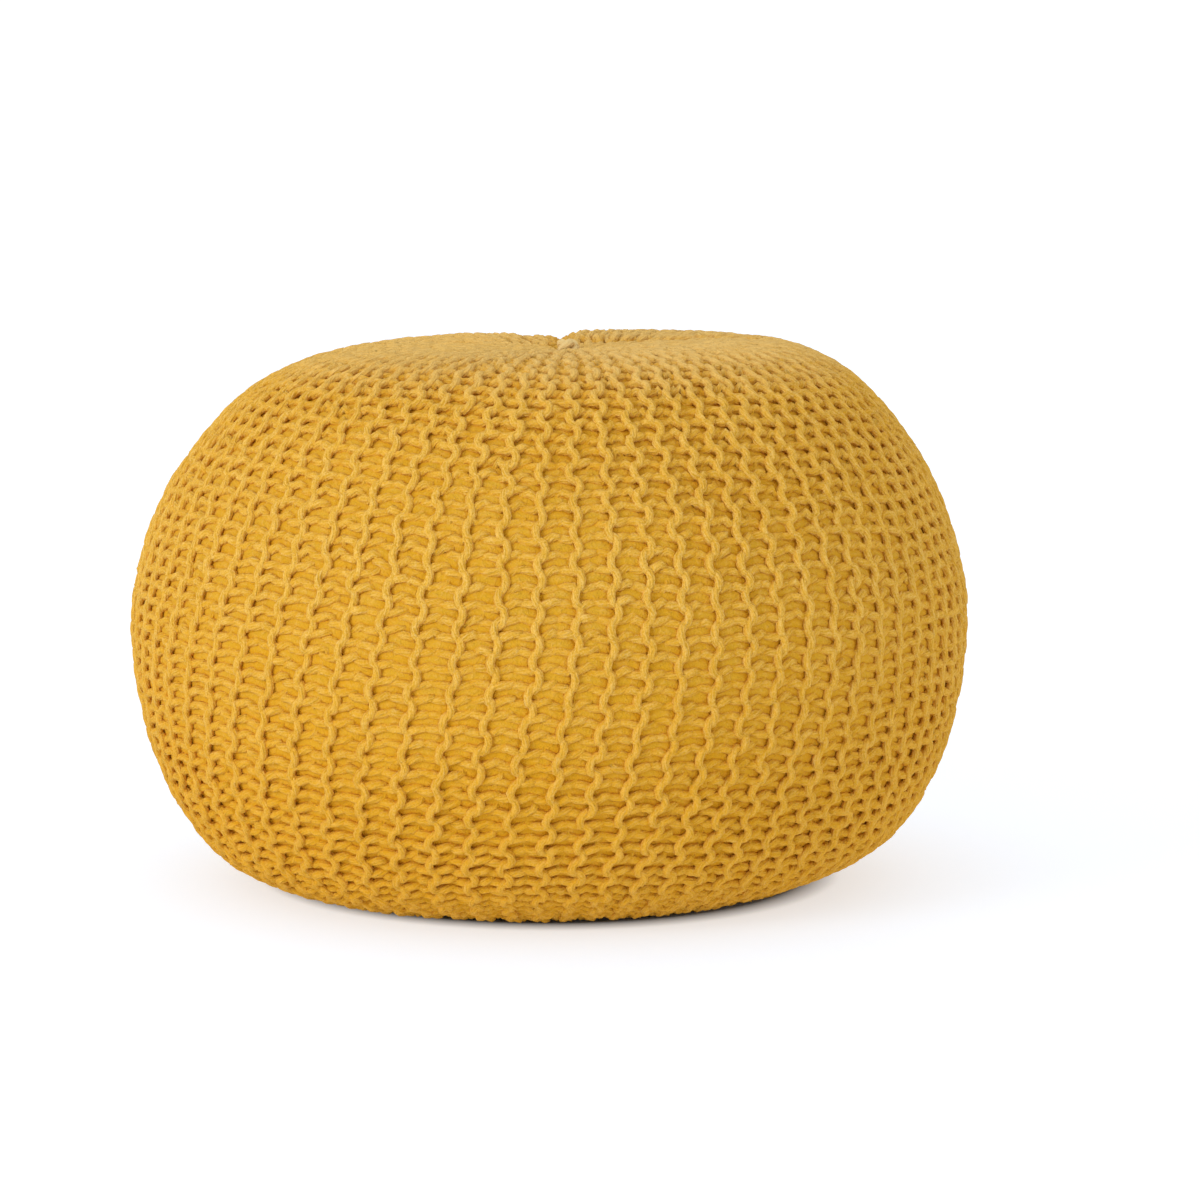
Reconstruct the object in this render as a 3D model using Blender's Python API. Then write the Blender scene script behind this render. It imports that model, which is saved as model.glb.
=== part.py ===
"""Knitted pouf: a ribbed garter-stitch cover, gathered top and bottom, over a filled cloth bag."""

import math

import bmesh
import bpy
import numpy as np

# Driving dimensions, in metres.
DIAMETER = 0.50165
RADIUS = DIAMETER / 2
GIRTH_HEIGHT = 0.1686  # height of the widest ring above the floor

# The crest line of the ridges from the top gather to the middle of the underside.
# radius: distance from the pouf's axis, in mm.  height: above the floor, in mm.
CREST_LINE = (
    # radius, height
    (0.0, 317.0),
    (12.0, 317.4),
    (30.0, 318.6),
    (55.0, 319.8),
    (82.0, 320.6),
    (112.0, 320.2),
    (148.0, 314.8),
    (180.0, 298.6),
    (205.7, 273.3),
    (227.5, 242.4),
    (242.2, 206.9),
    (250.8, 168.6),
    (249.7, 129.0),
    (242.3, 89.9),
    (227.7, 52.7),
    (203.4, 21.1),
    (167.0, 2.3),
    (134.0, -7.0),
    (95.0, -9.0),
    (60.0, -7.0),
    (38.0, 3.0),
    (9.0, 11.0),
)

# The stuffing sits a little to one side: the whole body is rolled, then settled on the floor.
ROLL = math.radians(1.65)
FLOOR_EASE = 0.003  # height over which the underside bends into its flat
AXIS_SHIFT = (-0.00035, 0.0)  # brings the middle of the outline over the origin

# Garter ridges.
RIDGES = 74
RIDGE_DEPTH = 0.005
RIDGE_DEPTH_SHARE = 0.30  # of the ridge spacing, where the ridges crowd together
CROWDING = 0.10  # ridges lie closer together on the right and wider on the left
STRETCH = 0.05  # and are drawn apart in three places round the girth
STRETCH_AZIMUTH = math.radians(-42)
TWIST_LOW = math.radians(-8)  # how far the ridges lean round by the underside
FAN_LOW = math.radians(6)  # and how far they fan apart sideways there
LEAN_FROM, LEAN_TO = 0.40, 0.78  # shares of the crest line between which the lean grows
GATHER_SHIFT = 0.010  # the top gather sits this far to the +X side

SLOPE_STEP = 0.004  # share of a turn or of the crest line over which a slope is read

# Walls.
COVER_WALL = 0.011
LINING_GAP = 0.0015

# Soft bulges and hollows of the stuffing.
# azimuth: degrees from the front towards +X.  height: share of the crest line, from the top.
# spread: degrees.  rise: mm, outward.
LUMPS = (
    # azimuth, height, spread, rise
    (30.0, 0.34, 24.0, 1.5),
    (-35.0, 0.40, 24.0, -1.5),
    (150.0, 0.45, 28.0, 2.5),
    (-140.0, 0.20, 24.0, 2.0),
    (175.0, 0.62, 28.0, -2.5),
    (5.0, 0.62, 24.0, -1.2),
)

TOP_BAND = 0.10  # height above the girth over which the top's own features fade in

# Folds of the top, running out from the gather.
# azimuth: degrees.  sunk: mm from the gather to full depth.  end, half_width, depth: mm.
FOLDS = (
    # azimuth, sunk, end, half_width, depth
    (88.0, 40.0, 130.0, 14.0, 8.0),
    (179.0, 45.0, 175.0, 30.0, 12.0),
)

# Rings of the cover's outer face, from the top gather to the eye of the lower one.
# share: of the crest line.  columns: points round the ring.  ridge: share of the ridge depth.
FULL = 2 * RIDGES
HALF = RIDGES
PLAIN = RIDGES // 2
OUTER_RINGS = (
    # share, columns, ridge
    (0.024, PLAIN, 0.0),
    (0.050, HALF, 0.0),
    (0.075, FULL, 0.8),
    (0.105, FULL, 1.0),
    (0.140, FULL, 1.0),
    (0.175, FULL, 1.0),
    (0.210, FULL, 1.0),
    (0.240, FULL, 1.0),
    (0.270, FULL, 1.0),
    (0.300, FULL, 1.0),
    (0.335, FULL, 1.0),
    (0.370, FULL, 1.0),
    (0.405, FULL, 1.0),
    (0.440, FULL, 1.0),
    (0.475, FULL, 1.0),
    (0.510, FULL, 1.0),
    (0.545, FULL, 1.0),
    (0.580, FULL, 1.0),
    (0.615, FULL, 1.0),
    (0.645, FULL, 1.0),
    (0.675, FULL, 1.0),
    (0.705, FULL, 0.9),
    (0.730, FULL, 0.5),
    (0.755, HALF, 0.0),
    (0.790, PLAIN, 0.0),
    (0.850, PLAIN, 0.0),
    (0.905, PLAIN, 0.0),
    (0.925, PLAIN, 0.0),
    (0.945, PLAIN, 0.0),
    (0.965, PLAIN, 0.0),
    (1.0, PLAIN, 0.0),
)
INNER_SHARES = (
    0.03, 0.07, 0.12, 0.17, 0.22, 0.27, 0.32, 0.37, 0.42, 0.48, 0.54, 0.59, 0.64, 0.69, 0.74,
    0.80, 0.86, 0.91, 0.945,
)  # rings of the cover's inner face and of the bag

# Colours of the cotton cord and of the bag's cloth.
CORD_COLOUR = (0.64, 0.36, 0.055, 1.0)
CLOTH_COLOUR = (0.72, 0.42, 0.045, 1.0)


def smooth_step(low, high, value):
    share = np.clip((value - low) / (high - low), 0.0, 1.0)
    return share * share * (3.0 - 2.0 * share)


def crest_spline(points_per_span=12):
    """The crest line as a smooth curve: share of its length, radius, height."""
    table = np.array(CREST_LINE) / 1000.0
    ends = np.vstack([2 * table[0] - table[1], table, 2 * table[-1] - table[-2]])
    share = np.linspace(0.0, 1.0, points_per_span, endpoint=False)[:, None]
    spans = []
    for a, b, c, d in zip(ends, ends[1:], ends[2:], ends[3:]):
        spans.append(
            0.5
            * (
                2 * b
                + (c - a) * share
                + (2 * a - 5 * b + 4 * c - d) * share**2
                + (3 * b - a - 3 * c + d) * share**3
            )
        )
    line = np.vstack(spans + [table[-1:]])
    steps = np.linalg.norm(np.diff(line, axis=0), axis=1)
    length = np.concatenate([[0.0], np.cumsum(steps)])
    return length / length[-1], line[:, 0], line[:, 1]


CREST_SHARE, CREST_RADIUS, CREST_HEIGHT = crest_spline()


def ridge_azimuth(turn, share):
    """Where the ridge at this share of the way round lies, at this share of the crest line."""
    turn = np.asarray(turn) * 2 * math.pi
    spread = turn + CROWDING * np.cos(turn) + STRETCH / 3 * np.sin(3 * (turn - STRETCH_AZIMUTH))
    low = smooth_step(LEAN_FROM, LEAN_TO, share)
    return spread + low * (TWIST_LOW + FAN_LOW * np.sin(spread))


def envelope(turn, share):
    """A point of the smooth surface that touches every ridge's crest."""
    turn, share = np.broadcast_arrays(np.asarray(turn, float), np.asarray(share, float))
    radius = np.interp(share, CREST_SHARE, CREST_RADIUS)
    height = np.interp(share, CREST_SHARE, CREST_HEIGHT)
    azimuth = ridge_azimuth(turn, share)
    rise = np.zeros_like(radius)
    for where, level, spread, mm in LUMPS:
        aside = np.angle(np.exp(1j * (azimuth - math.radians(where)))) / math.radians(spread)
        along = (share - level) * math.pi / math.radians(spread)
        rise = rise + mm / 1000.0 * np.exp(-(aside**2) - along**2)
    radius = radius * (1.0 + rise / RADIUS)
    height = GIRTH_HEIGHT + (height - GIRTH_HEIGHT) * (1.0 + rise / RADIUS)
    x = radius * np.sin(azimuth)
    y = -radius * np.cos(azimuth)
    upper = smooth_step(GIRTH_HEIGHT, GIRTH_HEIGHT + TOP_BAND, height)
    for where, sunk, end, half_width, depth in np.array(FOLDS) * (1, 1e-3, 1e-3, 1e-3, 1e-3):
        out = x * math.sin(math.radians(where)) - y * math.cos(math.radians(where))
        aside = x * math.cos(math.radians(where)) + y * math.sin(math.radians(where))
        run = smooth_step(0.0, sunk, out) * (1.0 - smooth_step(0.5 * end, end, out))
        width = half_width * (0.3 + 0.7 * smooth_step(0.0, 2 * sunk, out))
        height = height - upper * depth * run * np.exp(-((aside / width) ** 2))
    x = x + GATHER_SHIFT * upper * (1.0 - radius / RADIUS)
    rolled_x = x * math.cos(ROLL) - (height - GIRTH_HEIGHT) * math.sin(ROLL)
    rolled_z = GIRTH_HEIGHT + (height - GIRTH_HEIGHT) * math.cos(ROLL) + x * math.sin(ROLL)
    eased = (rolled_z + FLOOR_EASE) ** 2 / (4 * FLOOR_EASE)
    settled = np.where(
        rolled_z > FLOOR_EASE, rolled_z, np.where(rolled_z < -FLOOR_EASE, 0.0, eased)
    )
    return np.stack([rolled_x + AXIS_SHIFT[0], y + AXIS_SHIFT[1], settled], axis=-1)


def outward(turn, share):
    """The outward direction of the smooth surface."""
    share = np.clip(share, SLOPE_STEP, 1.0 - SLOPE_STEP)
    along = envelope(turn, share + SLOPE_STEP) - envelope(turn, share - SLOPE_STEP)
    across = envelope(turn + SLOPE_STEP, share) - envelope(turn - SLOPE_STEP, share)
    normal = np.cross(across, -along)
    return normal / np.linalg.norm(normal, axis=-1, keepdims=True)


def below(turn, share, depth):
    """A point at this depth under the crest surface."""
    return envelope(turn, share) - outward(turn, share) * np.asarray(depth)[..., None]


def ridge_depth(turn, share):
    """Depth of the valley between two ridges, shallower where they crowd together."""
    half = 0.5 / RIDGES
    pitch = np.linalg.norm(envelope(turn + half, share) - envelope(turn - half, share), axis=-1)
    return np.minimum(RIDGE_DEPTH, RIDGE_DEPTH_SHARE * pitch)


def outer_ring(share, columns, ridge):
    """One ring of the cover's face: crests on even columns, valleys on odd ones."""
    turn = np.arange(columns) / columns
    valley = np.arange(columns) % 2 * (columns == FULL)
    return below(turn, share, ridge * valley * ridge_depth(turn, share))


def plain_ring(share, depth):
    return below(np.arange(PLAIN) / PLAIN, share, np.full(PLAIN, depth))


def pole(depth):
    """The point under the middle of the top gather."""
    return envelope(0.0, 0.0) - np.array([0.0, 0.0, depth])


def join_rings(mesh, upper, lower):
    """Faces between two rings whose counts are equal, or two to one."""
    if len(upper) == len(lower):
        for i in range(len(upper)):
            j = (i + 1) % len(upper)
            mesh.faces.new((upper[i], lower[i], lower[j], upper[j]))
        return
    upper_is_coarse = len(upper) < len(lower)
    coarse, fine = (upper, lower) if upper_is_coarse else (lower, upper)
    for i in range(len(coarse)):
        a, b = coarse[i], coarse[(i + 1) % len(coarse)]
        c, d, e = fine[2 * i], fine[2 * i + 1], fine[(2 * i + 2) % len(fine)]
        for corners in ((a, c, d), (a, d, b), (b, d, e)):
            mesh.faces.new(corners if upper_is_coarse else corners[::-1])


def close_pole(mesh, point, ring):
    for i in range(len(ring)):
        mesh.faces.new((point, ring[i], ring[(i + 1) % len(ring)]))


def cotton(name, colour):
    material = bpy.data.materials.new(name)
    material.use_nodes = True
    shader = material.node_tree.nodes["Principled BSDF"]
    shader.inputs["Base Color"].default_value = colour
    shader.inputs["Metallic"].default_value = 0.0
    shader.inputs["Roughness"].default_value = 0.9
    material.diffuse_color = colour
    return material


def add_piece(name, mesh, material):
    """Turns a finished bmesh into a smooth-shaded object, facing out."""
    bmesh.ops.recalc_face_normals(mesh, faces=mesh.faces)
    if mesh.calc_volume(signed=True) < 0:
        bmesh.ops.reverse_faces(mesh, faces=mesh.faces)
    bmesh.ops.triangulate(mesh, faces=mesh.faces)
    data = bpy.data.meshes.new(name)
    mesh.to_mesh(data)
    mesh.free()
    data.shade_smooth()
    data.set_sharp_from_angle(angle=math.radians(35))
    data.materials.append(material)
    piece = bpy.data.objects.new(name, data)
    bpy.context.scene.collection.objects.link(piece)
    return piece


def make_cover():
    """The knitted wall: ribbed outside, plain inside, open at the eye under the lower gather."""
    mesh = bmesh.new()
    rings = [
        [mesh.verts.new(point) for point in outer_ring(share, columns, ridge)]
        for share, columns, ridge in OUTER_RINGS
    ]
    rings += [
        [mesh.verts.new(point) for point in plain_ring(share, COVER_WALL)]
        for share in reversed(INNER_SHARES)
    ]
    close_pole(mesh, mesh.verts.new(pole(0.0)), rings[0])
    for upper, lower in zip(rings, rings[1:]):
        join_rings(mesh, upper, lower)
    close_pole(mesh, mesh.verts.new(pole(COVER_WALL)), rings[-1][::-1])
    return add_piece("knitted_cover", mesh, cotton("cotton_cord", CORD_COLOUR))


def make_bag():
    """The filled bag: one crowned solid that fills the cover."""
    mesh = bmesh.new()
    depth = COVER_WALL + LINING_GAP
    rings = [
        [mesh.verts.new(point) for point in plain_ring(share, depth)] for share in INNER_SHARES
    ]
    close_pole(mesh, mesh.verts.new(pole(depth)), rings[0])
    for upper, lower in zip(rings, rings[1:]):
        join_rings(mesh, upper, lower)
    under = sum((vert.co for vert in rings[-1]), rings[-1][0].co * 0) / PLAIN
    close_pole(mesh, mesh.verts.new(under), rings[-1][::-1])
    return add_piece("lining_bag", mesh, cotton("plain_cloth", CLOTH_COLOUR))


def main():
    for old in list(bpy.data.objects):
        bpy.data.objects.remove(old, do_unlink=True)
    make_bag()
    make_cover()


main()
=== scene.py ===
"""Looks of the knitted pouf: every stitch of its garter-knit cotton cord, over the filled cloth bag.

Sizes are in metres where no comment says otherwise.
"""

import math

import bpy
import numpy as np
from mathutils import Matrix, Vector


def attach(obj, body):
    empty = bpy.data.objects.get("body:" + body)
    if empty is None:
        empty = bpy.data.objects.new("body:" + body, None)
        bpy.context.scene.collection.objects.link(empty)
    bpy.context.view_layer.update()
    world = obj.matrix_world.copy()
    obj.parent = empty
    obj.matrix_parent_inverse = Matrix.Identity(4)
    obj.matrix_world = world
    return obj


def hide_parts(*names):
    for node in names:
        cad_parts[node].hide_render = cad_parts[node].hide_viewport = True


# The pouf's body.
DIAMETER = 0.50165
RADIUS = DIAMETER / 2
GIRTH_HEIGHT = 0.1686  # height of the widest ring above the floor

# The crest line of the ridges from the top gather to the middle of the underside.
# radius: distance from the pouf's axis, in mm.  height: above the floor, in mm.
CREST_LINE = (
    # radius, height
    (0.0, 317.0),
    (12.0, 317.4),
    (30.0, 318.6),
    (55.0, 319.8),
    (82.0, 320.6),
    (112.0, 320.2),
    (148.0, 314.8),
    (180.0, 298.6),
    (205.7, 273.3),
    (227.5, 242.4),
    (242.2, 206.9),
    (250.8, 168.6),
    (249.7, 129.0),
    (242.3, 89.9),
    (227.7, 52.7),
    (203.4, 21.1),
    (167.0, 2.3),
    (134.0, -7.0),
    (95.0, -9.0),
    (60.0, -7.0),
    (38.0, 3.0),
    (9.0, 11.0),
)

# The stuffing sits a little to one side: the whole body is rolled, then settled on the floor.
ROLL = math.radians(1.65)
FLOOR_EASE = 0.003  # height over which the underside bends into its flat
AXIS_SHIFT = (-0.00035, 0.0)  # brings the middle of the outline over the origin

# Garter ridges, which run from gather to gather.
RIDGES = 74
RIDGE_PHASE = 0.5  # share of a ridge's spacing by which the first ridge is turned from the front
CROWDING = 0.10  # ridges lie closer together on the right and wider on the left
STRETCH = 0.05  # and are drawn apart in three places round the girth
STRETCH_AZIMUTH = math.radians(-42)
TWIST_LOW = math.radians(-8)  # how far the ridges lean round by the underside
FAN_LOW = math.radians(6)  # and how far they fan apart sideways there
LEAN_FROM, LEAN_TO = 0.40, 0.78  # shares of the crest line between which the lean grows
GATHER_SHIFT = 0.0155  # the top gather sits this far to the +X side
SLOPE_STEP = 0.004  # share of a turn or of the crest line over which a slope is read

# Soft bulges and hollows of the stuffing.
# azimuth: degrees from the front towards +X.  height: share of the crest line, from the top.
# spread: degrees.  rise: mm, outward.
LUMPS = (
    # azimuth, height, spread, rise
    (30.0, 0.34, 24.0, 1.5),
    (-35.0, 0.40, 24.0, -1.5),
    (150.0, 0.45, 28.0, 2.5),
    (-140.0, 0.20, 24.0, 2.0),
    (175.0, 0.62, 28.0, -2.5),
    (5.0, 0.62, 24.0, -1.2),
)

TOP_BAND = 0.10  # height above the girth over which the top's own features fade in

# Folds of the top, as lines in plan.  x, y: mm from the pouf's axis.  half_width, depth: mm.
# shade: how much painted shade darkens the cord in the fold, and how far the fold flattens the
# knitting's relief.
FOLDS = (
    # points, half_width, depth, shade
    (((22.0, 66.0), (40.0, 50.0), (64.0, 38.0), (92.0, 31.0), (126.0, 27.0)), 4.5, 7.5, 0.85),
    (((34.0, 36.0), (66.0, 18.0), (126.0, 6.0)), 15.0, 1.8, 0.0),
    (((12.0, 22.0), (12.0, 160.0)), 7.0, 3.6, 0.6),
    (((-2.0, 30.0), (-4.0, 160.0)), 15.0, 2.6, 0.0),
)

# The knitting.
ROWS = 39  # stitches along a ridge, from gather to gather
LONG_ROWS = 0.010  # how far the stitches of the shoulder are drawn out, as a share of the crest line
LONG_ROWS_PHASE = 0.35
ROW_TILT = 0.0233  # rows hang lower on the right, by this share of the crest line
ROW_TILT_EASE = 0.12  # share of the crest line at either gather over which the tilt dies away
CORD_RADIUS = 0.00265
FREE_PITCH = 0.018  # ridge spacing from which a stitch has its full width
CROWDED_PITCH = 0.008  # and below which the cord is squeezed thinner

# Half a stitch, from the middle of its deep end in a valley to the middle of its raised end.
# station: 0 at the ridge, 1 at the valley.  aside: mm past the station, away from the stitch.
# along: share of a stitch from the raised end's middle.  depth: mm under the crest surface.
# thickness: share of the cord's.
HALF_STITCH = (
    # station, aside, along, depth, thickness
    (1, 2.6, 0.50, 8.2, 0.94),
    (1, 1.0, 0.27, 5.8, 0.96),
    (1, -2.6, 0.245, 4.4, 1.0),
    (0, -3.6, 0.28, 4.7, 1.14),
    (0, -0.7, 0.30, 4.0, 1.02),
    (0, 1.8, 0.205, 3.0, 0.97),
    (0, 2.8, 0.0, 2.8, 0.98),
)
LEG_DEPTH = 4.2  # mm: points deeper than this belong to the stitch's legs
VALLEY_RISE = 0.08  # rows stand this much higher in the valleys, as a share of a stitch

# The relief of the ridges, as a share of the depths above: low where they are drawn apart round
# the girth, high where they stand closer, low again where they crowd round a gather or in a fold.
CROWDED_RELIEF = 0.8
CORD_RELIEF, CLOTH_RELIEF = 1.15, 1.3  # where the knitting is slack
CROWDED_FROM, CROWDED_TO = 0.002, 0.0055  # ridge spacings
DRAWN_FROM, DRAWN_TO = 0.0165, 0.0202  # ridge spacings between which the knitting is drawn tight
LOW_FROM, LOW_TO = 0.135, 0.070  # heights between which the knitting grows slack towards the floor
FOLDED_RELIEF = 0.5  # in the middle of a fold
DRAWN_ASIDE = 0.72  # where it is drawn tight, the raised ends swing aside by this share
DRAWN_LEGS = 0.93  # and the legs of a stitch lie this share as far apart

# Near a gather there is no room for every ridge: some tuck under their neighbours and end.
# every, from_number: which ridges.  tuck, end: mm from the pouf's axis.
TUCKS = (
    # every, from_number, tuck, end
    (2, 1, 84.0, 52.0),
    (4, 2, 42.0, 26.0),
    (8, 4, 21.0, 13.0),
)
TUCK_DEPTH = 0.006
TUCK_SQUEEZE = 0.3  # share by which the cord of a tucked ridge is squeezed thinner
GATHER_HOLE = 0.005  # the last ridges dive at this distance from the axis
GATHER_LIP = 0.010  # after bending down from this one
GATHER_DIVE = 0.007  # by this much

# Unevenness of hand knitting.
WANDER = 0.075  # how far a ridge wanders, as a share of the ridge spacing
ROW_WANDER = 0.25  # how far a row wanders, as a share of a stitch
UNEVEN_ASIDE = 0.0006
UNEVEN_ALONG = 0.032  # share of a stitch
UNEVEN_DEPTH = 0.0004
UNEVEN_THICKNESS = 0.06
UNEVEN_LEG = 0.022  # share of a stitch by which each end of a leg strays along the ridge
UNEVEN_LEG_DEPTH = 0.0006
THICKNESS_QUICKER = 3  # the cord's thickness strays this much quicker along a ridge than the rows do
WAVES_ROUND = (1, 12)  # least, and one past the most, waves of an unevenness round the pouf
WAVES_DOWN = (0.5, 5.0)  # least and most waves of it from gather to gather
SEED = 11

# The knot of cord that closes the top gather: a loop that runs twice round and has three lobes.
KNOT_ROUNDS, KNOT_LOBES = 2, 3
KNOT_RADIUS = 0.0032
KNOT_LOOP = 0.0018  # how far its lobes swing out and in
KNOT_HEIGHT = 0.0026  # and up and down
KNOT_CORD_RADIUS = 0.0025
KNOT_RISE = -0.0004
KNOT_POINTS = 61

CORD_SIDES = 6
PIECES = 6  # the stitches are kept in this many joined meshes

# The bag's cloth swells between the cords.
CREASE_DEPTH = 0.0054  # its depth under the crests where cords press on it
PUFF = 0.0008  # how far it swells out between them where the knitting is slack
PUFF_DRAWN = 0.0015  # and where the stuffing draws it apart
PUFF_FRONT = 0.0014  # and how much more at the front, where the bag is fullest
FULL_AZIMUTH, FULL_SPREAD = math.radians(8), math.radians(34)
CREASE = 0.9  # how far it is drawn in again under the legs of the stitches
CREASE_NARROWNESS = 4  # the higher, the narrower the creases there
PUFF_UNEVEN = 0.22  # how unlike each other the swellings are
PUFF_WIDTH = 0.5  # under 1, the swelling is wide and falls off steeply at the ridges
GATHER_SINK = 0.005  # it lies this much deeper round the gathers
GATHER_SINK_FROM, GATHER_SINK_TO = 0.095, 0.070  # distances from the axis
COLUMNS_A_RIDGE = 6
ROWS_A_STITCH = 4

# The finish of the cord and of the bag's cloth.
SHEEN, SHEEN_ROUGHNESS = 0.02, 0.5
GLOSS = 0.06
CORD_ROUGHNESS, CLOTH_ROUGHNESS = 0.85, 0.9
CORD_BUMP, CLOTH_BUMP = 0.0015, 0.0022
FIBRE_TWIST = 140.0  # radians round the cord for each metre along it
FIBRE_STRETCH = 60.0  # pattern lengths for each metre along the cord
PLIES = 7.0  # a whole number, so that they meet round the cord
PLY_TWIST = 110.0  # radians round the cord for each metre along it

# Noise patterns: scale, detail, roughness.  The scale of the fibres and strands is in pattern
# lengths, that of the others in repeats for each metre.
FIBRES = (3.0, 3.0, 0.6)
STRANDS = (1.1, 1.0, 0.4)
FUZZ = (900.0, 2.0, 0.7)
CORD_PATCHES = (14.0, 3.0, 0.6)
CLOTH_PATCHES = (22.0, 3.0, 0.6)
WRINKLES = (260.0, 3.0, 0.6)
GRAIN = (900.0, 2.0, 0.6)

# Their shares in the height of the bump.
FIBRE_RELIEF, STRAND_RELIEF, FUZZ_RELIEF, PLY_RELIEF = 0.6, 0.4, 0.5, 0.09
GRAIN_RELIEF = 0.3

# Noise values between which one colour passes into the next.
PATCH_RANGE = (0.3, 0.7)
CORD_PALE_RANGE = (0.46, 0.72)
CLOTH_PALE_RANGE = (0.48, 0.70)
HOLLOW_RANGE = (0.52, 0.34)
HOLLOW_SHADE = 0.6  # how far painted shade darkens the hollows between fibres
HOLLOW_PLY = 0.07  # and how much the plies count in where they lie

CORD_COLOUR = (0.80, 0.453, 0.056, 1.0)
CORD_DEEP = (0.75, 0.407, 0.040, 1.0)
CORD_PALE = (0.88, 0.60, 0.190, 1.0)
CORD_HOLLOW_SHADE = (0.58, 0.28, 0.008, 1.0)  # painted shade in the hollows between the fibres
CORD_PAINTED_SHADE = (0.70, 0.332, 0.004, 1.0)  # painted shade deep between the stitches and in the folds
# the colour of the painted sheen on top
CORD_SHEEN = (0.88, 0.675, 0.325, 1.0)
CORD_HIGHLIGHT = (0.93, 0.77, 0.42, 1.0)
KNOT_HIGHLIGHT = 0.42  # how far a painted highlight pales the knot of the gather
TOP_SHEEN = 0.36  # how far a painted sheen pales the colour on top
TOP_SHEEN_FROM, TOP_SHEEN_TO = 0.298, 0.322  # heights over which it does so
# the colour of the painted shade near the floor
CORD_UNDER_SHADE = (0.75, 0.34, 0.004, 1.0)
UNDER_SHADE = 0.5  # how far painted shade darkens the colour near the floor
UNDER_SHADE_FROM, UNDER_SHADE_TO = 0.20, 0.02  # heights over which it does so
SUNK_SHADE = 0.7  # how far painted shade darkens the colour where the cord lies deep
SUNK_FROM, SUNK_TO = 0.0030, 0.0072  # depths over which it does so
CLOTH_COLOUR = (0.665, 0.372, 0.034, 1.0)
CLOTH_DEEP = (0.615, 0.332, 0.020, 1.0)
CLOTH_PALE = (0.75, 0.446, 0.088, 1.0)


def smooth_step(low, high, value):
    share = np.clip((value - low) / (high - low), 0.0, 1.0)
    return share * share * (3.0 - 2.0 * share)


def crest_spline(points_per_span=12):
    """The crest line as a smooth curve: share of its length, radius, height."""
    table = np.array(CREST_LINE) / 1000.0
    ends = np.vstack([2 * table[0] - table[1], table, 2 * table[-1] - table[-2]])
    share = np.linspace(0.0, 1.0, points_per_span, endpoint=False)[:, None]
    spans = []
    for a, b, c, d in zip(ends, ends[1:], ends[2:], ends[3:]):
        spans.append(
            0.5
            * (
                2 * b
                + (c - a) * share
                + (2 * a - 5 * b + 4 * c - d) * share**2
                + (3 * b - a - 3 * c + d) * share**3
            )
        )
    line = np.vstack(spans + [table[-1:]])
    steps = np.linalg.norm(np.diff(line, axis=0), axis=1)
    length = np.concatenate([[0.0], np.cumsum(steps)])
    return length / length[-1], line[:, 0], line[:, 1]


CREST_SHARE, CREST_RADIUS, CREST_HEIGHT = crest_spline()


def ridge_azimuth(turn, share):
    """Where the ridge at this share of the way round lies, at this share of the crest line."""
    turn = np.asarray(turn) * 2 * math.pi
    spread = turn + CROWDING * np.cos(turn) + STRETCH / 3 * np.sin(3 * (turn - STRETCH_AZIMUTH))
    low = smooth_step(LEAN_FROM, LEAN_TO, share)
    return spread + low * (TWIST_LOW + FAN_LOW * np.sin(spread))


def plan(turn, share):
    """A point of the crest surface before it is folded, rolled and settled: x, y, height."""
    turn, share = np.broadcast_arrays(np.asarray(turn, float), np.asarray(share, float))
    radius = np.interp(share, CREST_SHARE, CREST_RADIUS)
    height = np.interp(share, CREST_SHARE, CREST_HEIGHT)
    azimuth = ridge_azimuth(turn, share)
    rise = np.zeros_like(radius)
    for where, level, spread, mm in LUMPS:
        aside = np.angle(np.exp(1j * (azimuth - math.radians(where)))) / math.radians(spread)
        along = (share - level) * math.pi / math.radians(spread)
        rise = rise + mm / 1000.0 * np.exp(-(aside**2) - along**2)
    radius = radius * (1.0 + rise / RADIUS)
    height = GIRTH_HEIGHT + (height - GIRTH_HEIGHT) * (1.0 + rise / RADIUS)
    upper = smooth_step(GIRTH_HEIGHT, GIRTH_HEIGHT + TOP_BAND, height)
    x = radius * np.sin(azimuth) + GATHER_SHIFT * upper * (1.0 - radius / RADIUS)
    return x, -radius * np.cos(azimuth), height, upper


def fold_shares(x, y):
    """How near a point lies to each fold's line: 1 on it, falling to 0 beside it."""
    for line, half_width, _, _ in FOLDS:
        nearest = np.full(x.shape, np.inf)
        for (x0, y0), (x1, y1) in zip(line, line[1:]):
            run_x, run_y = (x1 - x0) / 1000.0, (y1 - y0) / 1000.0
            off_x, off_y = x - x0 / 1000.0, y - y0 / 1000.0
            along = np.clip((off_x * run_x + off_y * run_y) / (run_x**2 + run_y**2), 0.0, 1.0)
            away = np.hypot(off_x - along * run_x, off_y - along * run_y)
            nearest = np.minimum(nearest, away)
        yield np.exp(-((nearest / (half_width / 1000.0)) ** 2))


def envelope(turn, share):
    """A point of the smooth surface that touches every ridge's crest."""
    x, y, height, upper = plan(turn, share)
    for (_, _, depth, _), near in zip(FOLDS, fold_shares(x, y)):
        height = height - upper * depth / 1000.0 * near
    rolled_x = x * math.cos(ROLL) - (height - GIRTH_HEIGHT) * math.sin(ROLL)
    rolled_z = GIRTH_HEIGHT + (height - GIRTH_HEIGHT) * math.cos(ROLL) + x * math.sin(ROLL)
    eased = (rolled_z + FLOOR_EASE) ** 2 / (4 * FLOOR_EASE)
    settled = np.where(
        rolled_z > FLOOR_EASE, rolled_z, np.where(rolled_z < -FLOOR_EASE, 0.0, eased)
    )
    return np.stack([rolled_x + AXIS_SHIFT[0], y + AXIS_SHIFT[1], settled], axis=-1)


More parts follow.
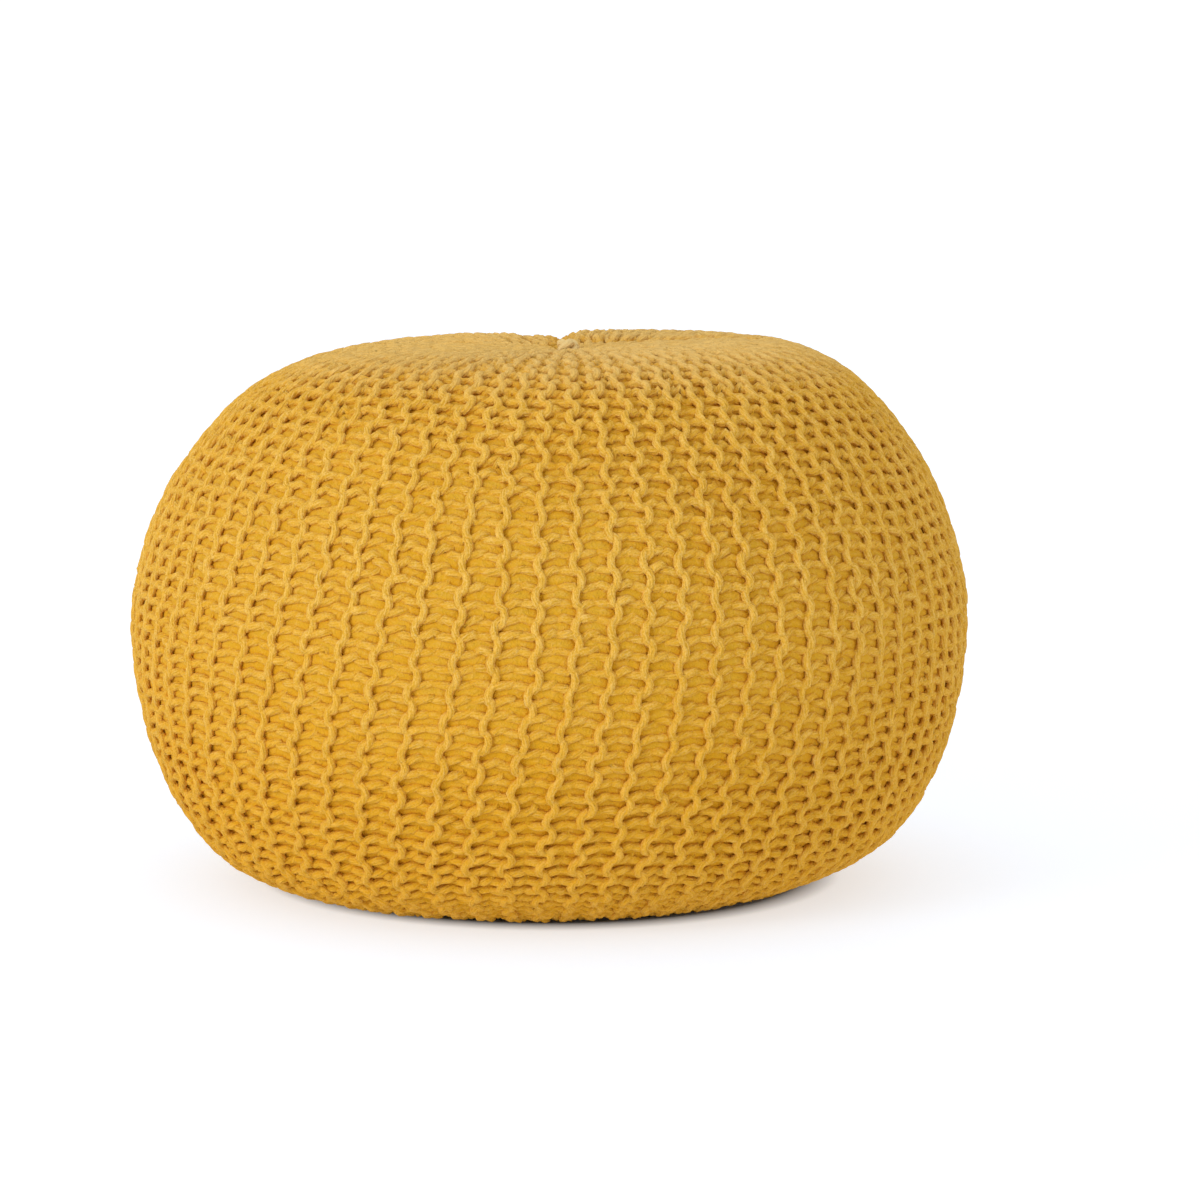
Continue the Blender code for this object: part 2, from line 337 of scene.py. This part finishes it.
def outward(turn, share):
    """The outward direction of the smooth surface."""
    share = np.clip(share, SLOPE_STEP, 1.0 - SLOPE_STEP)
    along = envelope(turn, share + SLOPE_STEP) - envelope(turn, share - SLOPE_STEP)
    across = envelope(turn + SLOPE_STEP, share) - envelope(turn - SLOPE_STEP, share)
    normal = np.cross(across, -along)
    return normal / np.linalg.norm(normal, axis=-1, keepdims=True)


def below(turn, share, depth):
    """A point at this depth under the crest surface."""
    return envelope(turn, share) - outward(turn, share) * np.asarray(depth)[..., None]


def ridge_pitch(turn, share):
    """The local distance from one ridge to the next."""
    half = 0.5 / RIDGES
    return np.linalg.norm(envelope(turn + half, share) - envelope(turn - half, share), axis=-1)


def slackness(turn, share):
    """How slack the knitting lies: 0 where the stuffing draws it apart, 1 above and below that."""
    drawn = smooth_step(DRAWN_FROM, DRAWN_TO, ridge_pitch(turn, share))
    low = smooth_step(LOW_FROM, LOW_TO, plan(turn, share)[2])
    return 1.0 - drawn * (1.0 - low)


def folded(turn, share):
    """How deep in a fold a point lies, 0 to 1."""
    x, y, _, upper = plan(turn, share)
    deepest = np.zeros(np.shape(x))
    for (_, _, _, shade), near in zip(FOLDS, fold_shares(x, y)):
        deepest = np.maximum(deepest, shade * near * upper)
    return deepest


def relief(turn, share, roomy, slack_relief):
    """The depth of the knitting's relief here, as a share of the stitch table's depths."""
    height = 1.0 + (slack_relief - 1.0) * slackness(turn, share)
    crowded = smooth_step(CROWDED_TO, CROWDED_FROM, roomy)
    height = height + (CROWDED_RELIEF - height) * crowded
    return height * (1.0 - (1.0 - FOLDED_RELIEF) * folded(turn, share))


def row_share(turn, row):
    """The share of the crest line at which a row of stitches lies, rows counted from the top."""
    share = row / ROWS
    wave = 2 * math.pi * LONG_ROWS_PHASE
    share = share + LONG_ROWS * (np.sin(2 * math.pi * share - wave) + math.sin(wave))
    ease = smooth_step(0.0, ROW_TILT_EASE, share) * smooth_step(0.0, ROW_TILT_EASE, 1.0 - share)
    return share + ROW_TILT * ease * np.sin(ridge_azimuth(turn, share))


def slow_waves(random, count=5):
    """A slow unevenness from -1 to 1 over the whole cover, as a function of turn and row."""
    parts = []
    for _ in range(count):
        round_waves = random.integers(*WAVES_ROUND)
        row_waves = random.uniform(*WAVES_DOWN)
        parts.append((round_waves, row_waves, random.uniform(0.0, 2 * math.pi)))

    def height(turn, row):
        total = 0.0
        for round_waves, row_waves, start in parts:
            total = total + np.sin(2 * math.pi * (round_waves * turn + row_waves * row / ROWS) + start)
        return total / count

    return height


RANDOM = np.random.default_rng(SEED)
ROW_WAVES = slow_waves(RANDOM)
RIDGE_WAVES = slow_waves(RANDOM)
THICKNESS_WAVES = slow_waves(RANDOM, 7)


def wandered_row(turn, row):
    """A row's real place, counted in stitches."""
    return np.clip(row + ROW_WANDER * ROW_WAVES(turn, row), 0.0, ROWS)


def stitch_stations():
    """One whole stitch as columns: station, aside, along, depth, thickness, in order along the cord."""
    table = np.array(HALF_STITCH)
    back = table[5:0:-1].copy()
    first = table.copy()
    first[:, 2] *= -1
    return np.vstack([first, back])


def cord_lines():
    """The middle lines of all the courses: point, radius, painted shade, and whether it is kept.

    Each ridge has two courses: one raised to the right of the ridge, one half a stitch lower
    and raised to its left.  Arrays run course, point along the course.
    """
    station, aside, along, depth, thickness = stitch_stations().T
    ridge = np.repeat(np.arange(RIDGES), 2)[:, None, None]
    side = np.tile([1.0, -1.0], RIDGES)[:, None, None]
    stitch = np.arange(ROWS + 1)[None, :, None]
    shape = (2 * RIDGES, ROWS + 1, len(station))
    each = (2 * RIDGES, ROWS + 1, 1)

    turn_middle = (ridge + RIDGE_PHASE) / RIDGES
    course_row = stitch + np.where(side > 0, 0.0, 0.5)
    is_leg = (depth > LEG_DEPTH) & (np.abs(along) < 0.5)
    slack = slackness(turn_middle, row_share(turn_middle, course_row))
    nearer = np.where(is_leg, DRAWN_LEGS + (1.0 - DRAWN_LEGS) * slack, 1.0)
    along_uneven = along * nearer + UNEVEN_ALONG * RANDOM.normal(size=each)
    legs = (depth > LEG_DEPTH) * RANDOM.normal(size=shape)
    row = course_row + along_uneven - VALLEY_RISE * station
    row = row + UNEVEN_LEG * legs
    row = wandered_row(turn_middle, np.broadcast_to(row, shape))
    share = row_share(turn_middle, row)
    from_axis = np.interp(share, CREST_SHARE, CREST_RADIUS)

    crowd = np.ones(shape)
    tucked = np.zeros(shape)
    kept = from_axis > GATHER_HOLE
    for every, first, tuck, end in np.array(TUCKS) * (1, 1, 1e-3, 1e-3):
        tucks = ridge % every == first
        fade = smooth_step(tuck, end, from_axis)
        tucked = tucked + np.where(tucks, fade, 0.0)
        kept = kept & ~(tucks & (from_axis < end))
        crowd = crowd * (1.0 + fade)
    pitch = ridge_pitch(turn_middle, share)
    roomy = pitch * crowd
    spread = np.minimum(1.0, roomy / FREE_PITCH)
    squeeze = np.minimum(1.0, roomy / CROWDED_PITCH)

    calm = np.where(station == 0, DRAWN_ASIDE + (1.0 - DRAWN_ASIDE) * slack, 1.0)
    aside = aside / 1000.0 * spread * calm + UNEVEN_ASIDE * RANDOM.normal(size=each) * (station == 0)
    wander = WANDER * RIDGE_WAVES(turn_middle, row)
    across = np.where(station == 0, aside / pitch, -0.5 - aside / pitch)
    turn = (ridge + RIDGE_PHASE + wander + side * across) / RIDGES
    dive = GATHER_DIVE * smooth_step(GATHER_LIP, GATHER_HOLE, from_axis)
    depth = depth / 1000.0 + UNEVEN_DEPTH * np.abs(RANDOM.normal(size=each)) * (station == 0)
    depth = depth + UNEVEN_LEG_DEPTH * legs
    depth = CORD_RADIUS + (depth - CORD_RADIUS) * relief(turn_middle, share, roomy, CORD_RELIEF)
    # Painted shade: the cord is darkened where it lies deep and in the folds of the top.
    painted_shade = np.maximum(smooth_step(SUNK_FROM, SUNK_TO, depth), folded(turn, share))
    depth = depth + TUCK_DEPTH * tucked + dive
    radius = CORD_RADIUS * thickness * squeeze * (1.0 - TUCK_SQUEEZE * tucked)
    uneven = THICKNESS_WAVES(turn_middle, row * THICKNESS_QUICKER)
    radius = radius * (1.0 + UNEVEN_THICKNESS * uneven)
    depth = np.maximum(depth, radius)
    points = below(turn, share, depth)
    flat = (2 * RIDGES, -1)
    return points.reshape(*flat, 3), radius.reshape(flat), painted_shade.reshape(flat), kept.reshape(flat)


class Value:
    """A number on a material's socket, for sums written as Python expressions."""

    def __init__(self, nodes, socket):
        self.nodes, self.socket = nodes, socket

    def _sum(self, operation, *terms):
        node = self.nodes.node("ShaderNodeMath", {"operation": operation}, dict(enumerate(terms)))
        return Value(self.nodes, node.outputs[0])

    def __add__(self, other):
        return self._sum("ADD", self, other)

    def __sub__(self, other):
        return self._sum("SUBTRACT", self, other)

    def __rsub__(self, other):
        return self._sum("SUBTRACT", other, self)

    def __mul__(self, other):
        return self._sum("MULTIPLY", self, other)

    __radd__ = __add__
    __rmul__ = __mul__

    def sine(self):
        return self._sum("SINE", self)

    def cosine(self):
        return self._sum("COSINE", self)

    def turn_from(self, other):
        """The angle whose sine and cosine are these two."""
        return self._sum("ARCTAN2", self, other)


class Nodes:
    """A node tree and the one way of adding nodes to it."""

    def __init__(self, tree):
        self.tree = tree

    def node(self, kind, settings=None, inputs=None):
        """Adds a node, then its settings, then its inputs: numbers, colours, sockets or Values."""
        node = self.tree.nodes.new(kind)
        for name, setting in (settings or {}).items():
            setattr(node, name, setting)
        for name, given in (inputs or {}).items():
            self.put(node, name, given)
        return node

    def put(self, node, name, given):
        if isinstance(given, Value):
            given = given.socket
        if isinstance(given, bpy.types.NodeSocket):
            self.tree.links.new(given, node.inputs[name])
        else:
            node.inputs[name].default_value = given


class Finish(Nodes):
    """A material, with the few kinds of node that its pattern is made of."""

    def __init__(self, name):
        self.material = bpy.data.materials.new(name)
        self.material.use_nodes = True
        super().__init__(self.material.node_tree)
        self.shader = self.tree.nodes["Principled BSDF"]

    def blend(self, share, first, second):
        """A colour between two others."""
        node = self.node("ShaderNodeMix", {"data_type": "RGBA"})
        for name, given in (("Factor_Float", share), ("A_Color", first), ("B_Color", second)):
            socket = next(s for s in node.inputs if s.identifier == name)
            self.put(node, list(node.inputs).index(socket), given)
        return next(s for s in node.outputs if s.identifier == "Result_Color")

    def noise(self, place, scale, detail, roughness):
        node = self.node(
            "ShaderNodeTexNoise",
            inputs={"Vector": place, "Scale": scale, "Detail": detail, "Roughness": roughness},
        )
        return Value(self, node.outputs["Fac"])

    def stretched(self, value, low, high):
        """The value's range from low to high made 0 to 1."""
        node = self.node(
            "ShaderNodeMapRange",
            inputs={"Value": value, "From Min": low, "From Max": high},
        )
        return Value(self, node.outputs["Result"])

    def attribute(self, name):
        """A number that the mesh carries at each point."""
        return Value(self, self.node("ShaderNodeAttribute", {"attribute_name": name}).outputs["Fac"])

    def with_painted_light(self, colour, place):
        """The colour with painted light: painted shade near the floor and where the surface lies deep,
        and a painted sheen that pales it on top.
        """
        painted_shade = self.attribute("painted_shade")
        height = self.node("ShaderNodeSeparateXYZ", inputs={"Vector": place}).outputs["Z"]
        # Painted shade, darker towards the floor.
        shade_near_floor = self.stretched(height, UNDER_SHADE_FROM, UNDER_SHADE_TO) * UNDER_SHADE
        colour = self.blend(shade_near_floor, colour, CORD_UNDER_SHADE)
        # Painted sheen that pales the top, less where the surface lies deep.
        top_sheen = self.stretched(height, TOP_SHEEN_FROM, TOP_SHEEN_TO) * TOP_SHEEN * (1.0 - painted_shade)
        # Painted shade where the surface lies deep.
        return self.blend(painted_shade * SUNK_SHADE, self.blend(top_sheen, colour, CORD_SHEEN), CORD_PAINTED_SHADE)

    def matt_fabric(self, colour, height, bump, roughness):
        """Gives the shader its colour, its relief and the soft sheen of cotton."""
        relief_normal = self.node("ShaderNodeBump", inputs={"Height": height, "Distance": bump})
        self.put(self.shader, "Base Color", colour)
        self.put(self.shader, "Normal", relief_normal.outputs["Normal"])
        self.put(self.shader, "Roughness", roughness)
        self.put(self.shader, "Sheen Weight", SHEEN)
        self.put(self.shader, "Sheen Roughness", SHEEN_ROUGHNESS)
        self.put(self.shader, "Specular IOR Level", GLOSS)


def cotton_cord(name, highlight=0.0):
    """Dyed cotton cord: fine fibres that wind slowly round it, paler where they stand up, with painted
    shade in the hollows between them.
    """
    finish = Finish(name)
    ring = finish.node("ShaderNodeAttribute", {"attribute_name": "ring"}).outputs["Vector"]
    sides = finish.node("ShaderNodeSeparateXYZ", inputs={"Vector": ring}).outputs
    round_cord = Value(finish, sides["Y"]).turn_from(Value(finish, sides["X"]))
    along = finish.attribute("along")
    wound = round_cord + along * FIBRE_TWIST
    fibre_place = finish.node(
        "ShaderNodeCombineXYZ",
        inputs={"X": wound.cosine(), "Y": wound.sine(), "Z": along * FIBRE_STRETCH},
    ).outputs["Vector"]
    fibres = finish.noise(fibre_place, *FIBRES)
    strands = finish.noise(fibre_place, *STRANDS)
    place = finish.node("ShaderNodeTexCoord").outputs["Object"]
    patches = finish.noise(place, *CORD_PATCHES)
    fuzz = finish.noise(place, *FUZZ)
    ply = ((round_cord + along * PLY_TWIST) * PLIES).cosine()
    standing = fibres * 0.5 + fuzz * 0.5
    dye = finish.blend(finish.stretched(patches, *PATCH_RANGE), CORD_DEEP, CORD_COLOUR)
    colour = finish.blend(finish.stretched(standing, *CORD_PALE_RANGE), dye, CORD_PALE)
    # Painted shade in the hollows between the fibres and plies.
    hollow_shade = finish.stretched(standing + ply * HOLLOW_PLY, *HOLLOW_RANGE)
    colour = finish.blend(hollow_shade * HOLLOW_SHADE, colour, CORD_HOLLOW_SHADE)
    # Painted highlight that pales the knot of the gather.
    colour = finish.blend(highlight, finish.with_painted_light(colour, place), CORD_HIGHLIGHT)
    height = fibres * FIBRE_RELIEF + strands * STRAND_RELIEF + fuzz * FUZZ_RELIEF + ply * PLY_RELIEF
    finish.matt_fabric(colour, height, CORD_BUMP, CORD_ROUGHNESS)
    return finish.material


def plain_cloth():
    """The bag's plain woven cotton, a clearer and slightly darker yellow than the cord."""
    finish = Finish("plain_cloth")
    place = finish.node("ShaderNodeTexCoord").outputs["Object"]
    patches = finish.noise(place, *CLOTH_PATCHES)
    wrinkles = finish.noise(place, *WRINKLES)
    grain = finish.noise(place, *GRAIN)
    dye = finish.blend(finish.stretched(patches, *PATCH_RANGE), CLOTH_DEEP, CLOTH_COLOUR)
    pale = finish.stretched(grain * 0.5 + wrinkles * 0.5, *CLOTH_PALE_RANGE)
    colour = finish.with_painted_light(finish.blend(pale, dye, CLOTH_PALE), place)
    finish.matt_fabric(colour, wrinkles + grain * GRAIN_RELIEF, CLOTH_BUMP, CLOTH_ROUGHNESS)
    return finish.material


def cord_tree(material):
    """Geometry nodes that turn middle lines into round cord, as thick as the lines' points say."""
    tree = bpy.data.node_groups.new("round_cord", "GeometryNodeTree")
    face = tree.interface
    face.new_socket("Geometry", in_out="INPUT", socket_type="NodeSocketGeometry")
    face.new_socket("Sides", in_out="INPUT", socket_type="NodeSocketInt")
    face.new_socket("Geometry", in_out="OUTPUT", socket_type="NodeSocketGeometry")
    add = Nodes(tree).node
    given = add("NodeGroupInput").outputs
    line = add("GeometryNodeMeshToCurve", inputs={"Mesh": given["Geometry"]}).outputs["Curve"]
    length = add("GeometryNodeSplineParameter").outputs["Length"]
    line = add(
        "GeometryNodeStoreNamedAttribute",
        {"data_type": "FLOAT", "domain": "POINT"},
        {"Geometry": line, "Name": "along", "Value": length},
    ).outputs["Geometry"]
    thickness = add(
        "GeometryNodeInputNamedAttribute", {"data_type": "FLOAT"}, {"Name": "thickness"}
    ).outputs["Attribute"]
    profile = add(
        "GeometryNodeCurvePrimitiveCircle", inputs={"Resolution": given["Sides"], "Radius": 1.0}
    ).outputs["Curve"]
    profile = add(
        "GeometryNodeStoreNamedAttribute",
        {"data_type": "FLOAT_VECTOR", "domain": "POINT"},
        {"Geometry": profile, "Name": "ring", "Value": add("GeometryNodeInputPosition").outputs[0]},
    ).outputs["Geometry"]
    cord = add(
        "GeometryNodeCurveToMesh",
        inputs={"Curve": line, "Profile Curve": profile, "Scale": thickness, "Fill Caps": True},
    ).outputs["Mesh"]
    cord = add("GeometryNodeSetShadeSmooth", inputs={"Geometry": cord}).outputs["Geometry"]
    cord = add("GeometryNodeRealizeInstances", inputs={"Geometry": cord}).outputs["Geometry"]
    cord = add(
        "GeometryNodeSetMaterial", inputs={"Geometry": cord, "Material": material}
    ).outputs["Geometry"]
    add("NodeGroupOutput", inputs={"Geometry": cord})
    return tree


def round_cords(name, lines, tree, sides):
    """One mesh of round cords.  Each line is its points, its radii and its painted shade, 0 to 1."""
    points = np.concatenate([line[0] for line in lines])
    radii = np.concatenate([line[1] for line in lines])
    painted_shade = np.concatenate([line[2] for line in lines])
    edges, start = [], 0
    for line in lines:
        here = np.arange(start, start + len(line[0]))
        edges.append(np.stack([here[:-1], here[1:]], axis=1))
        start += len(line[0])
    guide = bpy.data.meshes.new(name + "_lines")
    guide.from_pydata(points.tolist(), np.concatenate(edges).tolist(), [])
    guide.attributes.new("thickness", "FLOAT", "POINT").data.foreach_set("value", radii)
    guide.attributes.new("painted_shade", "FLOAT", "POINT").data.foreach_set("value", painted_shade)
    helper = bpy.data.objects.new(name + "_lines", guide)
    bpy.context.scene.collection.objects.link(helper)
    modifier = helper.modifiers.new("round_cord", "NODES")
    modifier.node_group = tree
    for item in tree.interface.items_tree:
        if item.name == "Sides":
            modifier[item.identifier] = sides
    bpy.context.view_layer.update()
    graph = bpy.context.evaluated_depsgraph_get()
    mesh = bpy.data.meshes.new_from_object(
        helper.evaluated_get(graph), preserve_all_data_layers=True, depsgraph=graph
    )
    helper.modifiers.clear()
    bpy.data.objects.remove(helper, do_unlink=True)
    mesh.name = name
    piece = bpy.data.objects.new(name, mesh)
    bpy.context.scene.collection.objects.link(piece)
    return piece


def knit_cover(tree):
    """The cover's stitches, in joined meshes of a few ridges each."""
    points, radii, painted_shade, kept = cord_lines()
    pieces = []
    for number, ridges in enumerate(np.array_split(np.arange(RIDGES), PIECES), 1):
        lines = []
        for ridge in ridges:
            for course in (2 * ridge, 2 * ridge + 1):
                keep = kept[course]
                lines.append((points[course][keep], radii[course][keep], painted_shade[course][keep]))
        pieces.append(round_cords(f"cover_stitches_{number}", lines, tree, CORD_SIDES))
    return pieces


def make_lining(material):
    """The filled bag's cloth, one closed form that swells out between the stitches."""
    columns = RIDGES * COLUMNS_A_RIDGE
    ridge = np.arange(columns) / COLUMNS_A_RIDGE
    # The rings stop just short of both middles, which one point each closes.
    row = np.arange(2, ROWS * ROWS_A_STITCH - 1)[:, None] / ROWS_A_STITCH
    rows = len(row)
    turn_middle = (ridge + RIDGE_PHASE) / RIDGES
    wandered = wandered_row(turn_middle, row - VALLEY_RISE * np.sin(math.pi * ridge) ** 2)
    turn = turn_middle + WANDER * RIDGE_WAVES(turn_middle, wandered) / RIDGES
    share = row_share(turn_middle, wandered)
    from_axis = np.interp(share, CREST_SHARE, CREST_RADIUS)
    cell = RANDOM.uniform(1.0 - 2 * PUFF_UNEVEN, 1.0, size=(2 * ROWS + 1, RIDGES))
    cell = cell[np.round(2 * row).astype(int), np.floor(ridge).astype(int)]
    under_leg = np.sin(2 * math.pi * row) ** CREASE_NARROWNESS
    puff = np.abs(np.sin(math.pi * ridge)) ** PUFF_WIDTH * (1.0 - CREASE * under_leg)
    pitch = ridge_pitch(turn_middle, share)
    off_front = np.angle(np.exp(1j * (ridge_azimuth(turn_middle, share) - FULL_AZIMUTH)))
    swell = PUFF_DRAWN + PUFF_FRONT * np.exp(-((off_front / FULL_SPREAD) ** 2))
    swell = swell + (PUFF - swell) * slackness(turn_middle, share)
    flat_depth = CREASE_DEPTH - CORD_RADIUS - swell * puff * cell
    depth = CORD_RADIUS + flat_depth * relief(turn_middle, share, pitch, CLOTH_RELIEF)
    depth = depth + GATHER_SINK * smooth_step(GATHER_SINK_FROM, GATHER_SINK_TO, from_axis)
    points = below(turn, share, depth)
    top = points[0].mean(axis=0)
    bottom = points[-1].mean(axis=0)
    places = np.vstack([points.reshape(-1, 3), top, bottom])
    last = rows * columns
    faces = []
    for i in range(rows - 1):
        for j in range(columns):
            a, b = i * columns + j, i * columns + (j + 1) % columns
            faces.append((a, a + columns, b + columns, b))
    for j in range(columns):
        after = (j + 1) % columns
        faces.append((last, j, after))
        low = (rows - 1) * columns
        faces.append((last + 1, low + after, low + j))
    mesh = bpy.data.meshes.new("bag_cloth")
    mesh.from_pydata(places.tolist(), [], faces)
    # Painted shade on the cloth: full in the creases under the cords, least where it swells most.
    crease_shade = np.concatenate([(1.0 - puff * cell).ravel(), (1.0, 1.0)])
    mesh.attributes.new("painted_shade", "FLOAT", "POINT").data.foreach_set("value", crease_shade)
    mesh.shade_smooth()
    mesh.materials.append(material)
    piece = bpy.data.objects.new("bag_cloth", mesh)
    bpy.context.scene.collection.objects.link(piece)
    return piece


def gather_knot(tree):
    """The knot of the drawn-up cord in the middle of the top."""
    turn = np.linspace(0.0, 2 * math.pi, KNOT_POINTS)
    out = KNOT_RADIUS + KNOT_LOOP * np.cos(KNOT_LOBES * turn)
    up = KNOT_HEIGHT * np.sin(KNOT_LOBES * turn)
    wound = KNOT_ROUNDS * turn
    knot = np.stack([out * np.cos(wound), out * np.sin(wound), up], axis=-1)
    middle = envelope(0.0, 0.0) + np.array((0.0, 0.0, KNOT_RISE))
    radii = np.full(KNOT_POINTS, KNOT_CORD_RADIUS)
    painted_shade = np.zeros(KNOT_POINTS)
    return round_cords("gather_knot", [(knot + middle, radii, painted_shade)], tree, CORD_SIDES)


# The room: a plain floor, soft light and the camera.
PHOTO_SIDE = 1200  # px
CAMERA_DISTANCE = 2.508
CAMERA_ELEVATION = math.radians(7.5)
POUF_RADIUS_IN_PHOTO = 419.5  # px
POUF_MIDDLE_IN_PHOTO = (549.0, 594.0)  # px, where the middle of the girth shows
SENSOR = 36.0  # mm
VIEW_DEPTH = 60.0  # how far the camera sees, in metres
FLOOR_REACH = 60.0  # from the pouf to each edge of the floor
FLOOR_COLOUR = (0.42, 0.48, 0.58, 1.0)
FLOOR_ROUGHNESS = 0.8
FLOOR_GLOW = 0.59
BLACK, WHITE = (0.0, 0.0, 0.0, 1.0), (1.0, 1.0, 1.0, 1.0)
CONTACT_SHADOW_FROM, CONTACT_SHADOW_TO = 0.154, 0.176  # distances from the axis over which the floor's glow fades out under the pouf: a painted contact shadow
SKY_LOW = 1.11  # brightness of the white surround near the horizon
SKY_HIGH = 0.89  # and high up
SKY_FROM, SKY_TO = 0.03, 0.60  # heights between which it passes from one to the other

LIGHTS = (
    # name, place, size, power
    ("key_light", (-2.3, -2.1, 1.3), 1.4, 36.0),
)


def make_camera():
    data = bpy.data.cameras.new("camera")
    camera = bpy.data.objects.new("camera", data)
    bpy.context.scene.collection.objects.link(camera)
    camera.location = (
        0.0,
        -CAMERA_DISTANCE * math.cos(CAMERA_ELEVATION),
        GIRTH_HEIGHT + CAMERA_DISTANCE * math.sin(CAMERA_ELEVATION),
    )
    camera.rotation_euler = (math.pi / 2 - CAMERA_ELEVATION, 0.0, 0.0)
    reach = math.sqrt((CAMERA_DISTANCE / RADIUS) ** 2 - 1.0)
    focal_px = POUF_RADIUS_IN_PHOTO * reach
    data.sensor_width = SENSOR
    data.lens = focal_px * SENSOR / PHOTO_SIDE
    data.shift_x = (PHOTO_SIDE / 2 - POUF_MIDDLE_IN_PHOTO[0]) / PHOTO_SIDE
    data.shift_y = (POUF_MIDDLE_IN_PHOTO[1] - PHOTO_SIDE / 2) / PHOTO_SIDE
    data.clip_end = VIEW_DEPTH
    bpy.context.scene.camera = camera


def add_light(name, place, size, power):
    """A square soft light that faces the pouf."""
    data = bpy.data.lights.new(name, "AREA")
    data.size = size
    data.energy = power
    light = bpy.data.objects.new(name, data)
    light.location = place
    target = Vector((0.0, 0.0, GIRTH_HEIGHT)) - Vector(place)
    light.rotation_euler = target.to_track_quat("-Z", "Y").to_euler()
    bpy.context.scene.collection.objects.link(light)


def make_floor():
    """The plain pale floor, which glows a little everywhere but under the pouf, where the missing glow
    is a painted contact shadow.
    """
    mesh = bpy.data.meshes.new("floor")
    signs = ((-1, -1), (1, -1), (1, 1), (-1, 1))
    mesh.from_pydata([(x * FLOOR_REACH, y * FLOOR_REACH, 0.0) for x, y in signs], [], [(0, 1, 2, 3)])
    floor = bpy.data.objects.new("floor", mesh)
    finish = Finish("pale_floor")
    place = finish.node("ShaderNodeTexCoord").outputs["Object"]
    from_axis = finish.node("ShaderNodeVectorMath", {"operation": "LENGTH"}, {0: place})
    # Painted contact shadow: the floor's glow fades out under the pouf.
    beyond_contact_shadow = finish.stretched(from_axis.outputs["Value"], CONTACT_SHADOW_FROM, CONTACT_SHADOW_TO)
    finish.put(finish.shader, "Base Color", FLOOR_COLOUR)
    finish.put(finish.shader, "Roughness", FLOOR_ROUGHNESS)
    finish.put(finish.shader, "Emission Color", finish.blend(beyond_contact_shadow, BLACK, WHITE))
    finish.put(finish.shader, "Emission Strength", FLOOR_GLOW)
    mesh.materials.append(finish.material)
    bpy.context.scene.collection.objects.link(floor)


def make_surround():
    """The soft white light from all round, a little brighter near the horizon."""
    world = bpy.data.worlds.new("studio")
    bpy.context.scene.world = world
    world.use_nodes = True
    surround = Nodes(world.node_tree)
    direction = surround.node("ShaderNodeTexCoord").outputs["Generated"]
    height = surround.node("ShaderNodeSeparateXYZ", inputs={"Vector": direction}).outputs["Z"]
    limits = {"From Min": SKY_FROM, "From Max": SKY_TO, "To Min": SKY_LOW, "To Max": SKY_HIGH}
    strength = surround.node("ShaderNodeMapRange", inputs={"Value": height, **limits})
    background = world.node_tree.nodes["Background"]
    surround.put(background, "Color", WHITE)
    surround.put(background, "Strength", strength.outputs["Result"])


def make_room():
    make_floor()
    make_surround()
    for light in LIGHTS:
        add_light(*light)
    bpy.context.scene.view_settings.view_transform = "Standard"


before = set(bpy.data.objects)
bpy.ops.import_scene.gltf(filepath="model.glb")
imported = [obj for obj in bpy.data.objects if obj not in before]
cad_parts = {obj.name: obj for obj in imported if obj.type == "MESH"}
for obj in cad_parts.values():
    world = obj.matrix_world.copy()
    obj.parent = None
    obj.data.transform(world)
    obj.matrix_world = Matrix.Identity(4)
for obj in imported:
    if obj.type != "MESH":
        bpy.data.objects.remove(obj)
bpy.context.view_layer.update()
make_camera()
make_room()
tree = cord_tree(cotton_cord("cotton_cord"))
for piece in knit_cover(tree):
    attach(piece, "root")
    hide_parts("knitted_cover")
bpy.data.node_groups.remove(tree)
tree = cord_tree(cotton_cord("highlit_cord", KNOT_HIGHLIGHT))
knot = gather_knot(tree)
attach(knot, "root")
lining = make_lining(plain_cloth())
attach(lining, "root")
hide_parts("lining_bag")
bpy.data.node_groups.remove(tree)
